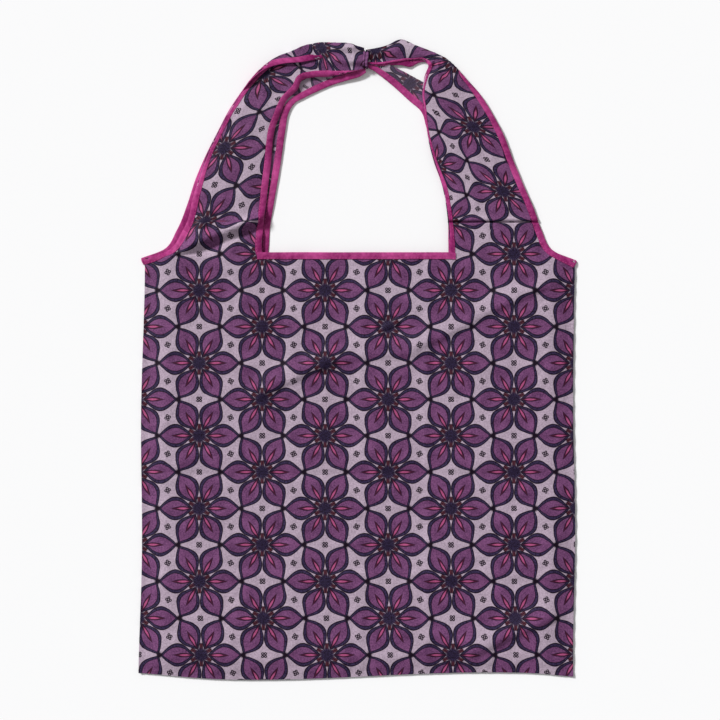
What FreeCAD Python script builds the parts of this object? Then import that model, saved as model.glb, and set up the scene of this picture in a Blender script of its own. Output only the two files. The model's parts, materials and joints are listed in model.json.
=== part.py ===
# Foldable tote bag, lying flat on its back panel with its handle laid out above the mouth.
#
# X runs across the bag, +Y from the bottom seam to the crown of the handle, +Z out of the front panel.
# The origin is the centre of the footprint, on the surface that the bag lies on.  Millimetres.
#
# The cloth body is divided along the lines where it folds, so that each stretch which moves on its own
# is rigid: the bottom and lower stretches fold up on the middle one, the upper front panel is the lip
# that opens the mouth, and four straps that meet in one gathered crown seam make the handle.
import FreeCAD, Part
import os

import Sketcher

SIZES = {
    # Fold lines and edges of the body, along Y
    "bottom_y": -307.0,
    "bottom_fold_y": -209.0,
    "lower_fold_y": -111.0,
    "lip_fold_y": -7.0,
    "mouth_y": 102.0,
    "crease_y": 132.0,
    "fold_gap": 0.4,
    # Body, across X
    "body_half": 209.0,
    "mouth_half": 90.0,
    "seam": 4.0,
    # Layers, along Z
    "cloth": 0.8,
    "cavity": 5.6,
    "tape_thick": 1.0,
    # Binding tape: its width, and how far its inner line shifts at a slanting corner
    "tape": 7.0,
    "tape_shift": 3.0,
    # Shoulder curve, from the side seam to the outer edge of the strap
    "shoulder_x": 186.0,
    "shoulder_y": 109.0,
    "shoulder_radius": 25.0,
    # Outer edge of a strap, from the crease to the crown
    "strap_out": 171.0,
    "outer_low_x": 118.0,
    "outer_low_y": 250.0,
    "outer_high_x": 66.0,
    "outer_high_y": 297.0,
    "outer_radius": 100.0,
    "crown_y": 307.0,
    # Inner edge of a strap
    "inner_low_x": 74.0,
    "inner_low_y": 232.0,
    "inner_high_x": 54.0,
    "inner_high_y": 268.0,
    "inner_radius": 45.0,
    "crown_in_y": 281.0,
    # Gathered crown seam
    "crown_half": 6.0,
    "crown_thick": 9.0,
    "crown_radius": 2.0,
    # Stow pocket inside the back panel
    "pocket_half": 62.0,
    "pocket_low_y": -26.0,
    "pocket_top_y": 86.0,
    "pocket_lift": 1.4,
    # Press stud at the pocket's edge
    "stud_y": 66.0,
    "stud_radius": 5.5,
    "stud_thick": 0.9,
    "ball_radius": 2.0,
    "ball_thick": 1.2,
    "socket_bore": 2.1,
    "socket_radius": 4.5,
    "socket_thick": 1.0,
}
LEFT, RIGHT = -1, 1
SIDES = {"left": LEFT, "right": RIGHT}
SIGNS = {"+": 1, "-": -1}
FRONT = "cloth + cavity"
BACK = ""
LAYERS = {"front": FRONT, "back": BACK}
SAME_PLACE = 1e-4

doc = FreeCAD.newDocument("foldable_tote_bag")
sheet = doc.addObject("Spreadsheet::Sheet", "Sizes")


def fill_sheet():
    """Writes each driving dimension on a row of its own, with its alias."""
    for row, (alias, size) in enumerate(SIZES.items(), start=1):
        sheet.set(f"A{row}", alias)
        sheet.set(f"B{row}", str(size))
        sheet.setAlias(f"B{row}", alias)
    doc.recompute()


def bound(terms, side=RIGHT):
    """The expression for a sum of driving dimensions, such as "mouth_y - tape"; side mirrors it."""
    words = [word if word in SIGNS else f"Sizes.{word}" for word in terms.split()]
    return f"{side} * ({' '.join(words)})"


def value(terms, side=RIGHT):
    """The same sum as a number, which draws the outline in place before it is constrained."""
    total = 0.0
    sign = 1
    for word in terms.split():
        if word in SIGNS:
            sign = SIGNS[word]
        else:
            total += sign * SIZES[word]
    return side * total


def hold(sketch, kind, line, place, expression):
    """Holds the start of a line at a distance from the origin, bound to the sheet."""
    held = sketch.addConstraint(Sketcher.Constraint(kind, -1, 1, line, 1, place))
    sketch.setExpression(f"Constraints[{held}]", expression)


def outline_sketch(body, outline, side):
    """A closed outline on the body's XY plane, with each corner held along X and along Y."""
    sketch = body.newObject("Sketcher::SketchObject", body.Label + "_outline")
    plane = next(feature for feature in body.Origin.OriginFeatures if feature.Role == "XY_Plane")
    sketch.AttachmentSupport = [(plane, "")]
    sketch.MapMode = "FlatFace"
    corners = [FreeCAD.Vector(value(x, side), value(y), 0) for x, y in outline]
    for start, end in zip(corners, corners[1:] + corners[:1]):
        sketch.addGeometry(Part.LineSegment(start, end), False)
    for line in range(len(outline)):
        following = (line + 1) % len(outline)
        sketch.addConstraint(Sketcher.Constraint("Coincident", line, 2, following, 1))
    for line, (x, y) in enumerate(outline):
        hold(sketch, "DistanceX", line, corners[line].x, bound(x, side))
        hold(sketch, "DistanceY", line, corners[line].y, bound(y))
    return sketch


def upright_edge(pad, x, y):
    """The name of the pad's edge that stands on the outline's corner at x, y."""
    for number, edge in enumerate(pad.Shape.Edges, start=1):
        ends = [vertex.Point for vertex in edge.Vertexes]
        if all(abs(end.x - x) < SAME_PLACE and abs(end.y - y) < SAME_PLACE for end in ends):
            return f"Edge{number}"
    raise ValueError(f"{pad.Label} has no corner at {x}, {y}")


def round_corners(body, pad, corners, side):
    """Rounds the named corners of an outline, each radius with a fillet of its own."""
    doc.recompute()
    base = pad
    for radius in sorted(set(corners.values())):
        places = [(value(x, side), value(y)) for (x, y), own in corners.items() if own == radius]
        fillet = body.newObject("PartDesign::Fillet", f"{body.Label}_{radius}")
        fillet.Base = (base, [upright_edge(base, x, y) for x, y in places])
        fillet.setExpression("Radius", bound(radius))
        doc.recompute()
        base = fillet


def plate(label, outline, base, thickness, side=RIGHT, rounded=None):
    """A flat stretch of cloth, tape or seam: its outline, padded up from the height that base gives."""
    body = doc.addObject("PartDesign::Body", label)
    body.Label = label
    pad = body.newObject("PartDesign::Pad", label + "_pad")
    pad.Profile = outline_sketch(body, outline, side)
    pad.setExpression("Length", bound(thickness))
    if rounded:
        round_corners(body, pad, rounded, side)
    if base:
        body.setExpression("Placement.Base.z", bound(base))
    return body


def rectangle(low_x, high_x, low_y, high_y):
    return [(low_x, low_y), (high_x, low_y), (high_x, high_y), (low_x, high_y)]


def disc(label, radius, thickness, base):
    """A round part of the press stud, on the stud's own axis."""
    part = doc.addObject("Part::Cylinder", label)
    part.Label = label
    part.setExpression("Radius", bound(radius))
    part.setExpression("Height", bound(thickness))
    part.setExpression("Placement.Base.y", bound("stud_y"))
    part.setExpression("Placement.Base.z", bound(base))
    return part


def ring(label, radius, bore, thickness, base):
    part = doc.addObject("Part::Cut", label)
    part.Label = label
    part.Base = disc(label + "_blank", radius, thickness, base)
    part.Tool = disc(label + "_bore", bore, thickness, base)
    return part


def side_seams(name, low_y, high_y):
    """The sewn strip that joins the front and back panels at each side of one stretch."""
    strip = rectangle("body_half - seam", "body_half", low_y, high_y)
    return [plate(f"side_seam_{side}_{name}", strip, "cloth", "cavity", sign) for side, sign in SIDES.items()]


def folding_stretches():
    """The bottom and lower stretches of the bag, which fold up, and the front of the middle one."""
    parts = []
    for name, low_y, high_y in (
        ("bottom", "bottom_y", "bottom_fold_y - fold_gap"),
        ("lower", "bottom_fold_y + fold_gap", "lower_fold_y - fold_gap"),
    ):
        panel = rectangle("- body_half", "body_half", low_y, high_y)
        parts.append(plate(f"front_panel_{name}", panel, FRONT, "cloth"))
        parts.append(plate(f"back_panel_{name}", panel, BACK, "cloth"))
        parts += side_seams(name, low_y, high_y)
    hem = rectangle("- body_half + seam", "body_half - seam", "bottom_y", "bottom_y + seam")
    middle = rectangle("- body_half", "body_half", "lower_fold_y + fold_gap", "lip_fold_y - fold_gap")
    parts.append(plate("bottom_seam", hem, "cloth", "cavity"))
    parts.append(plate("front_panel_middle", middle, FRONT, "cloth"))
    return parts


def shoulder_cloth():
    """The root of a strap, between the mouth's level and the crease, inside its two tapes."""
    return [
        ("mouth_half + tape", "mouth_y - tape"),
        ("body_half - tape - tape", "mouth_y - tape"),
        ("shoulder_x - tape_shift", "shoulder_y - tape"),
        ("strap_out - tape", "crease_y - fold_gap"),
        ("mouth_half + tape", "crease_y - fold_gap"),
    ]


def upper_panels():
    """The lip of the front panel with its strap roots, the upper back panel, and their side seams."""
    lip = rectangle("- body_half", "body_half", "lip_fold_y + fold_gap", "mouth_y - tape - fold_gap")
    back = rectangle("- body_half", "body_half", "lower_fold_y + fold_gap", "mouth_y - tape")
    bend = {("shoulder_x - tape_shift", "shoulder_y - tape"): "shoulder_radius"}
    parts = [
        plate("front_panel_upper", lip, FRONT, "cloth"),
        plate("back_panel_upper", back, BACK, "cloth"),
    ]
    parts += side_seams("upper", "lower_fold_y + fold_gap", "mouth_y - tape")
    for layer, base in LAYERS.items():
        for side, sign in SIDES.items():
            label = f"{layer}_shoulder_{side}"
            parts.append(plate(label, shoulder_cloth(), base, "cloth", sign, bend))
    return parts


def mouth_bindings():
    """Tape along the mouth on each panel; the front one lies just clear of the strap roots' tape."""
    back = rectangle("- mouth_half - tape", "mouth_half + tape", "mouth_y - tape", "mouth_y")
    front = rectangle(
        "- mouth_half + fold_gap", "mouth_half - fold_gap", "mouth_y - tape - fold_gap", "mouth_y"
    )
    return [
        plate("front_mouth_binding", front, FRONT, "tape_thick"),
        plate("back_mouth_binding", back, BACK, "tape_thick"),
    ]


def shoulder_bindings():
    """Tape along both edges of each strap root, and its turn over the top of each side seam."""
    inner_low = {"front": "mouth_y - tape", "back": "mouth_y"}
    outer = [
        ("body_half", "mouth_y - tape"),
        ("body_half", "mouth_y"),
        ("shoulder_x", "shoulder_y"),
        ("strap_out", "crease_y - fold_gap"),
        ("strap_out - tape", "crease_y - fold_gap"),
        ("shoulder_x - tape_shift", "shoulder_y - tape"),
        ("body_half - tape - tape", "mouth_y - tape"),
    ]
    bends = {outer[2]: "shoulder_radius", outer[5]: "shoulder_radius"}
    turn = rectangle("body_half - seam", "body_half", "mouth_y - tape", "mouth_y")
    parts = []
    for side, sign in SIDES.items():
        for layer, base in LAYERS.items():
            inner = rectangle("mouth_half", "mouth_half + tape", inner_low[layer], "crease_y - fold_gap")
            label = f"{layer}_shoulder_binding_{side}"
            parts.append(plate(label + "_inner", inner, base, "tape_thick", sign))
            parts.append(plate(label + "_outer", outer, base, "tape_thick", sign, bends))
        parts.append(plate(f"binding_turn_{side}", turn, "tape_thick", "cavity + cloth - tape_thick", sign))
    return parts


def strap(label, base, side):
    """One strap between its two tapes, from the crease to the crown seam, and the tapes themselves."""
    outer_cloth = [
        ("strap_out - tape", "crease_y"),
        ("outer_low_x - tape", "outer_low_y - tape_shift"),
        ("outer_high_x - tape_shift", "outer_high_y - tape"),
        ("crown_half", "crown_y - tape"),
    ]
    inner_cloth = [
        ("crown_half", "crown_in_y + tape"),
        ("inner_high_x + tape_shift", "inner_high_y + tape"),
        ("inner_low_x + tape", "inner_low_y + tape_shift"),
        ("mouth_half + tape", "crease_y"),
    ]
    outer_edge = [
        ("crown_half", "crown_y"),
        ("outer_high_x", "outer_high_y"),
        ("outer_low_x", "outer_low_y"),
        ("strap_out", "crease_y"),
    ]
    inner_edge = [
        ("mouth_half", "crease_y"),
        ("inner_low_x", "inner_low_y"),
        ("inner_high_x", "inner_high_y"),
        ("crown_half", "crown_in_y"),
    ]
    outer_bends = {corner: "outer_radius" for corner in outer_cloth[1:3]}
    inner_bends = {corner: "inner_radius" for corner in inner_cloth[1:3]}
    outer_tape_bends = outer_bends | {corner: "outer_radius" for corner in outer_edge[1:3]}
    inner_tape_bends = inner_bends | {corner: "inner_radius" for corner in inner_edge[1:3]}
    return [
        plate(label, outer_cloth + inner_cloth, base, "cloth", side, outer_bends | inner_bends),
        plate(label + "_outer_binding", outer_cloth + outer_edge, base, "tape_thick", side, outer_tape_bends),
        plate(label + "_inner_binding", inner_cloth + inner_edge, base, "tape_thick", side, inner_tape_bends),
    ]


def handle():
    """Four straps, two from each panel, gathered in one seam at the crown."""
    parts = []
    for layer, base in LAYERS.items():
        for side, sign in SIDES.items():
            parts += strap(f"{layer}_strap_{side}", base, sign)
    crown = rectangle("- crown_half", "crown_half", "crown_in_y", "crown_y")
    bends = {corner: "crown_radius" for corner in crown}
    parts.append(plate("crown_seam", crown, BACK, "crown_thick", rounded=bends))
    return parts


def stow_pocket():
    """The pocket that the folded bag turns into, its bound edge, its hem and the press stud."""
    inside = "cloth + pocket_lift"
    panel = rectangle("- pocket_half", "pocket_half", "pocket_low_y", "pocket_top_y - tape")
    edge = rectangle("- pocket_half", "pocket_half", "pocket_top_y - tape", "pocket_top_y")
    hem = rectangle("- pocket_half", "pocket_half", "pocket_low_y", "pocket_low_y + seam")
    return [
        plate("stow_pocket", panel, inside, "cloth"),
        plate("stow_pocket_binding", edge, inside, "tape_thick"),
        plate("stow_pocket_hem", hem, "cloth", "pocket_lift"),
        disc("press_stud_ball", "ball_radius", "ball_thick", "cloth"),
        ring("press_stud_socket", "socket_radius", "socket_bore", "socket_thick", inside + " - socket_thick"),
        disc("press_stud_cap", "stud_radius", "stud_thick", inside + " + cloth"),
    ]


def check(parts):
    """Stops at an object that failed to rebuild, or at a part with no valid solid."""
    failed = {item.Label for item in doc.Objects if {"Invalid", "Error"} & set(item.State)}
    for part in parts:
        shape = part.Shape
        if shape.isNull() or not shape.isValid() or not shape.Solids:
            failed.add(part.Label)
    if failed:
        raise RuntimeError(f"these objects failed: {sorted(failed)}")


def export(parts):
    os.makedirs("parts", exist_ok=True)
    for part in parts:
        part.Shape.exportStep(f"parts/{part.Label}.step")
        box = part.Shape.BoundBox
        print(
            f"{part.Label:34s} {part.Shape.Volume:8.0f} mm3"
            f"  x {box.XMin:6.1f} {box.XMax:6.1f}"
            f"  y {box.YMin:6.1f} {box.YMax:6.1f}"
            f"  z {box.ZMin:4.1f} {box.ZMax:4.1f}"
        )


fill_sheet()
made = folding_stretches() + upper_panels()
made += mouth_bindings() + shoulder_bindings()
made += handle() + stow_pocket()
doc.recompute()
check(made)
export(made)
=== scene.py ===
# Visual model of a foldable tote bag, lying flat on its back panel with its handle laid out.
import json
import math

import bmesh
import bpy
import numpy as np
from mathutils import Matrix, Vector, noise


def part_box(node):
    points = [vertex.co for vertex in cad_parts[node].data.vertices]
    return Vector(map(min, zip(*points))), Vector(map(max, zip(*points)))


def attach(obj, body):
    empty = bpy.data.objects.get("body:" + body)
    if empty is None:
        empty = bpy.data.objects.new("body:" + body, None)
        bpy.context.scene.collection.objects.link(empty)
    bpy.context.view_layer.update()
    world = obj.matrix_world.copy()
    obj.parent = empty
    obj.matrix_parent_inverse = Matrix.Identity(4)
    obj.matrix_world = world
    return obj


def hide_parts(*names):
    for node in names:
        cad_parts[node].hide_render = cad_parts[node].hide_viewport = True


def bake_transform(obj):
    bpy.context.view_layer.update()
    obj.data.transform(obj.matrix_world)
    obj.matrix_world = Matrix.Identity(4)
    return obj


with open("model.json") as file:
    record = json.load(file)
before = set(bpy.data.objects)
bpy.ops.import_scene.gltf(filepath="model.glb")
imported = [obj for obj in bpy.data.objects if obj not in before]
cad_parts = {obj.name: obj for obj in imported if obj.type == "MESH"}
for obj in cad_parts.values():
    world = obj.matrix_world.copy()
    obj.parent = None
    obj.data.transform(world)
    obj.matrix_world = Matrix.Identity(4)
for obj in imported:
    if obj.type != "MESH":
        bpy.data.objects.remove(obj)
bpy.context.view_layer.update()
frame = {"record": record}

MM = 0.001

# ---- places taken from the frame

HINGES = {joint["name"]: joint["pos_m"] for joint in frame["record"]["behaviour"]["joints"]}
BODY_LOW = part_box("back_panel_bottom")[0]
HALF = -BODY_LOW[0] / MM
BOTTOM = BODY_LOW[1] / MM
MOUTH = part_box("back_mouth_binding")[1][1] / MM
BOTTOM_FOLD = HINGES["bottom_fold_hinge"][1] / MM
LOWER_FOLD = HINGES["lower_fold_hinge"][1] / MM
LIP_FOLD = HINGES["mouth_open"][1] / MM
CREASE = HINGES["handle_swing"][1] / MM
CROWN_LOW, CROWN_HIGH = (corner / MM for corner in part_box("crown_seam"))

# Where the cloth is divided between joints: on the middle of a stretch that moves as one
LOWER_CUT = (BOTTOM_FOLD + LOWER_FOLD) / 2
MIDDLE_CUT = (LOWER_FOLD + LIP_FOLD) / 2
STRAP_CUT = CREASE - 8.0

# ---- sizes, in millimetres

SIDES = {"left": -1, "right": 1}
CLOTH = 0.28
TAPE = 6.3

# Heights above the floor: the front cloth at its seams and its rise inside them, the back cloth at its
# seams, and the turned edge of the back left strap
FRONT_EDGE = 2.0
FRONT_RISE = 3.4
BACK_EDGE = 0.75
FLAP_LEVEL = 8.6

# How finely the cloth is divided
STEP = 2.6
STRAP_COLUMNS = 46
STRAP_ROWS = 110
TAPE_COLUMNS = 9

# The print: its pitch, the heart of one flower, and the cloth that the crease at the straps' roots takes
FLOWER_PITCH = 70.0
FLOWER_CENTRE = (-32.6, 65.8)
CREASE_TAKES = 6.0

# How the print runs on up the straps: its lean, its slip at the crease, its stretch, the extra cloth
# gathered near the crown, and its late drift outward
STRAP_LEAN = 0.14
STRAP_SLIP = {"left": 4.5, "right": 0.0}
STRAP_STRETCH = {"left": 0.94, "right": 1.07}
STRAP_GATHER = {"left": 0.44, "right": 0.0}
STRAP_DRIFT = {"front_left": 0.0, "front_right": 13.0, "back_left": 0.0, "back_right": 25.0}

# Soft folds across the front: where each starts and ends, and how high it rises
FOLDS = [
    ((-106, -42), (-14, 2), 3.4), ((-48, -5), (78, 4), 2.4), ((40, 2), (202, 80), 2.6),
    ((92, -298), (208, -244), 3.4), ((20, -262), (112, -284), 1.8), ((-200, -214), (-92, -262), 1.9),
]

# Each strap as a list of stations from the mouth to the crown: the inner edge and the outer edge of what
# shows, then how much cloth is turned over at the inner edge and at the outer edge
STRAPS = {
    "front_left": [
        (-93.5, 102, -208.5, 96.5, 0, 0),
        (-94, 109, -185, 103.5, 0, 0),
        (-92.8, 124, -169.5, 124, 0, 0),
        (-89, 157, -158.5, 160, 0, 0),
        (-85.2, 189, -149.3, 190, 0, 0.6),
        (-81.5, 221, -135.8, 219, 0, 1.2),
        (-75.5, 237.5, -123.5, 241, 0, 1.8),
        (-69.5, 250, -108.2, 262.5, 0, 2.4),
        (-59.5, 259.5, -92.5, 280, 0, 2),
        (-55, 268.5, -75, 291, 0, 3),
        (-43, 271.5, -56, 299, 0, 5),
        (-28, 272, -36, 304, 0, 8),
        (-10, 275.5, -14, 303.5, 4, 12),
        (5, 279, 5, 299, 6, 15),
    ],
    "front_right": [
        (86.5, 102, 209, 93.5, 0, 0),
        (86.5, 109, 186.5, 104.5, 0, 0),
        (86, 124, 175.8, 124, 1, 0),
        (84.8, 142, 169, 143, 2, 0),
        (80.5, 166, 158.8, 166, 2, 0),
        (72.5, 189, 149.4, 189, 3, 0),
        (66, 216, 138.5, 217, 4, 0),
        (63, 240, 125.5, 241, 4, 0),
        (61, 257, 114.8, 257, 4, 0),
        (63.5, 271, 102.5, 271, 3, 2),
        (67, 283, 86, 288.5, 2, 12),
        (61, 288.5, 70, 296.5, 3, 17),
        (51, 288.5, 55, 302.2, 4, 22),
        (40, 287, 41, 307.8, 4, 25),
        (27, 284.5, 28, 302.3, 4, 20),
        (14, 283, 14, 298.6, 3, 17),
        (5.5, 283, 6.5, 297, 2, 15),
    ],
    "back_left": [
        (-88, 102, -209, 97, 0, 0),
        (-87.3, 109, -187.5, 105.5, 0, 0),
        (-86.5, 124, -175.5, 124, 0, 0),
        (-82.5, 150, -164.9, 150, 0, 0),
        (-78.5, 173, -157.4, 173, 0, 0),
        (-75, 195, -148.5, 194, 0, 0),
        (-71.5, 220, -136.2, 218.5, 0, 0),
        (-68.3, 237, -123.4, 242.5, 0, 0),
        (-62, 247, -108.6, 263, 0, 1),
        (-54, 251.5, -94.4, 279, 0, 4),
        (-44, 256.5, -80, 290, 0, 10.5),
        (-34, 261, -65.8, 295.6, 0, 15.5),
        (-24, 265, -51.5, 301.8, 0, 19),
        (-14, 268, -37, 304.9, 0, 20.5),
        (-5, 270.5, -22.5, 304.5, 0, 14),
        (1, 272.5, -8, 303.8, 0, 12),
        (6.5, 276, 5, 298, 0, 8),
    ],
    "back_right": [
        (90, 102, 208.5, 95, 0, 0),
        (90, 109, 185.5, 104.8, 0, 0),
        (89, 124, 174.5, 124, 0, 0),
        (84, 158, 161, 160, 0, 0),
        (73.5, 195, 146, 195, 0, 0),
        (65.3, 224, 119, 232, 0, 0),
        (59.5, 240, 84, 257, 0, 8),
        (48, 250, 62, 267, 0, 16),
        (32, 264.5, 44, 276.5, 0, 16),
        (16, 277, 27.5, 284.5, 0, 14),
        (8, 281, 9, 294, 0, 10),
    ],
}
CUT_STATION = 2


# ---- small maths

def smooth(t):
    t = np.clip(t, 0.0, 1.0)
    return t * t * (3.0 - 2.0 * t)


def bell(distance, width):
    return np.exp(-(distance / width) ** 2)


def mix(a, b, share):
    return a * (1.0 - share) + b * share


def lengths_of(line):
    """Distance from the start of a line to each of its points."""
    return np.concatenate([[0.0], np.cumsum(np.linalg.norm(np.diff(line, axis=0), axis=1))])


def unit(vectors):
    return vectors / np.maximum(np.linalg.norm(vectors, axis=-1, keepdims=True), 1e-9)


def ripples(x, y, scale, seed):
    """Smooth noise from -1 to 1 at points x, y, with features about scale millimetres across."""
    x, y = np.broadcast_arrays(x, y)
    flat = np.stack([np.ravel(x) / scale, np.ravel(y) / scale, np.full(np.size(x), seed)], axis=1)
    return np.array([noise.noise(Vector(point)) for point in flat]).reshape(np.shape(x))


def spline(stations):
    """Hermite curve through a strap's stations, with closer rows at the crease.

    Gives the rows, the distance of each along the strap's middle, and the row of the cut.
    """
    rows = np.array(stations, float)
    knots = lengths_of((rows[:, 0:2] + rows[:, 2:4]) / 2)
    slopes = np.gradient(rows, knots, axis=0)
    fold = knots[CUT_STATION] + CREASE - STRAP_CUT
    even = np.linspace(knots[0], knots[-1], STRAP_ROWS)
    at = np.concatenate([even, np.arange(fold - 5, fold + 6, 0.6)])
    at = np.unique(np.append(at, knots[CUT_STATION]))
    span = np.clip(np.searchsorted(knots, at, side="right") - 1, 0, len(knots) - 2)
    width = (knots[span + 1] - knots[span])[:, None]
    t = (at[:, None] - knots[span][:, None]) / width
    curve = (
        (2 * t**3 - 3 * t**2 + 1) * rows[span]
        + (t**3 - 2 * t**2 + t) * width * slopes[span]
        + (3 * t**2 - 2 * t**3) * rows[span + 1]
        + (t**3 - t**2) * width * slopes[span + 1]
    )
    cut = int(np.argmin(np.abs(at - knots[CUT_STATION])))
    return curve, at, cut


# ---- shape of the body

def edge_shift(x, y):
    """How far the outline wanders from the cut: a slow wave down each side and along the bottom."""
    down = (MOUTH - y) / (MOUTH - BOTTOM)
    across = (x + HALF) / (2 * HALF)
    left = 1.5 - 4.2 * down - 1.1 * np.cos(2 * math.pi * (down - 0.38) / 0.65)
    right = np.cos(2 * math.pi * (down - 0.65) / 0.6) - 1.4 - 0.8 * bell(down - 0.12, 0.1)
    wave = 0.8 - 3.6 * np.cos(2 * math.pi * (across - 0.26) / 1.1)
    wave += 3.2 * bell(across, 0.12) - 2.2 * bell(1.0 - across, 0.06)
    return mix(left, right, across), wave * smooth((BOTTOM + 110.0 - y) / 110.0)


def ridge(x, y, start, end):
    """A soft ridge from one place to another: steep below, easy above, fading at both ends."""
    run_x, run_y = end[0] - start[0], end[1] - start[1]
    length = math.hypot(run_x, run_y)
    along = ((x - start[0]) * run_x + (y - start[1]) * run_y) / length
    above = ((y - start[1]) * run_x - (x - start[0]) * run_y) / length + 3.0 * ripples(x, y, 40.0, length)
    fade = smooth(along / 25.0) * smooth((length - along) / 25.0)
    return fade * smooth((above + 5.0) / 7.0) * smooth((26.0 - above) / 24.0)


def creases(x, y):
    """Soft ridges and valleys left by packing, and the slack of a cloth that lies loose."""
    height = np.zeros(np.shape(x))
    for line, depth in ((BOTTOM_FOLD, 0.9), (LOWER_FOLD, -0.9), (LIP_FOLD, 0.6)):
        wander = 3.0 * ripples(x, y, 90.0, line)
        height += depth * bell(y - line - wander, 3.6)
    for line, depth in ((-74.0, -0.7), (68.0, 0.8), (4.0, 0.4)):
        wander = 4.0 * ripples(x, y, 110.0, line)
        height += depth * bell(x - line - wander, 3.8)
    for start, end, rise in FOLDS:
        height += rise * ridge(x, y, start, end)
    height += 1.5 * ripples(x, y * 0.45, 34.0, 3.0)
    height += 0.9 * ripples(x * 0.55, y, 21.0, 7.0)
    height += 0.6 * ripples(x + y, x - y, 13.0, 19.0)
    height += 0.35 * ripples(x, y, 7.0, 11.0)
    return height


def settle(x, y):
    """Share of the full rise of the front panel: none at the seams, all of it a few centimetres in."""
    side = smooth((HALF - np.abs(x)) / 26.0)
    below = smooth((y - BOTTOM) / 22.0)
    return side * below


def front_height(x, y):
    """Height of the front cloth: its rise and creases, the puckers along its seams, and the seam lines."""
    share = settle(x, y)
    puckers = 0.25 * np.sin(y / 2.6) * bell(HALF - np.abs(x), 5.0)
    gathers = np.sin(x / 3.3 + 5.0 * ripples(x, y, 30.0, 41.0))
    puckers += 0.45 * (1.0 + gathers) * bell(y - BOTTOM - 7.0, 5.0) * smooth((HALF - np.abs(x)) / 12.0)
    seam_line = -0.5 * bell(HALF - 5.2 - np.abs(x), 0.9) - 0.4 * bell(y - BOTTOM - 5.0, 0.9)
    return FRONT_EDGE + share * (FRONT_RISE + creases(x, y)) + puckers + seam_line


def back_height(x, y):
    """Height of the back cloth, which lies on the floor, slack only here and there."""
    share = settle(x, y)
    return BACK_EDGE - 0.35 * share + 0.25 * share * (creases(x + 31.0, y - 17.0) ** 2)


HEIGHTS = {"front": front_height, "back": back_height}


def body_point(layer, x, y):
    """Points of the front or back cloth, in millimetres, for places x, y on its flat cut."""
    shift_x, shift_y = edge_shift(x, y)

    # Outside the mouth the top edge slopes down to these levels, at the left seam and the right one
    corner = {"front": (96.5, 93.5), "back": (97.5, 95.0)}[layer]
    inner = STRAPS[f"{layer}_left"][0][0], STRAPS[f"{layer}_right"][0][0]
    left = np.clip((inner[0] - x) / (inner[0] + HALF), 0, 1) * (corner[0] - MOUTH)
    right = np.clip((x - inner[1]) / (HALF - inner[1]), 0, 1) * (corner[1] - MOUTH)
    shift_y = shift_y + (left + right) * smooth((y - MOUTH + 60.0) / 60.0)
    return np.stack([x + shift_x, y + shift_y, HEIGHTS[layer](x, y)], axis=-1)


def body_grid(layer, low, high):
    """Rows of points and of print coordinates between two levels, with the straps' own columns."""
    left = STRAPS[f"{layer}_left"][0][0]
    right = STRAPS[f"{layer}_right"][0][0]
    columns = np.concatenate([
        np.linspace(-HALF, left, STRAP_COLUMNS)[:-1],
        np.linspace(left, right, round((right - left) / STEP)),
        np.linspace(right, HALF, STRAP_COLUMNS)[1:],
    ])
    rows = np.linspace(low, high, round((high - low) / STEP))
    x, y = np.meshgrid(columns, rows)
    points = body_point(layer, x, y)
    lower = smooth((BOTTOM + 120.0 - y) / 110.0)[..., None]
    askew = lower * np.array([-2.0, 1.2])
    return points, points[..., :2] + askew


# ---- shape of the straps

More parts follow.
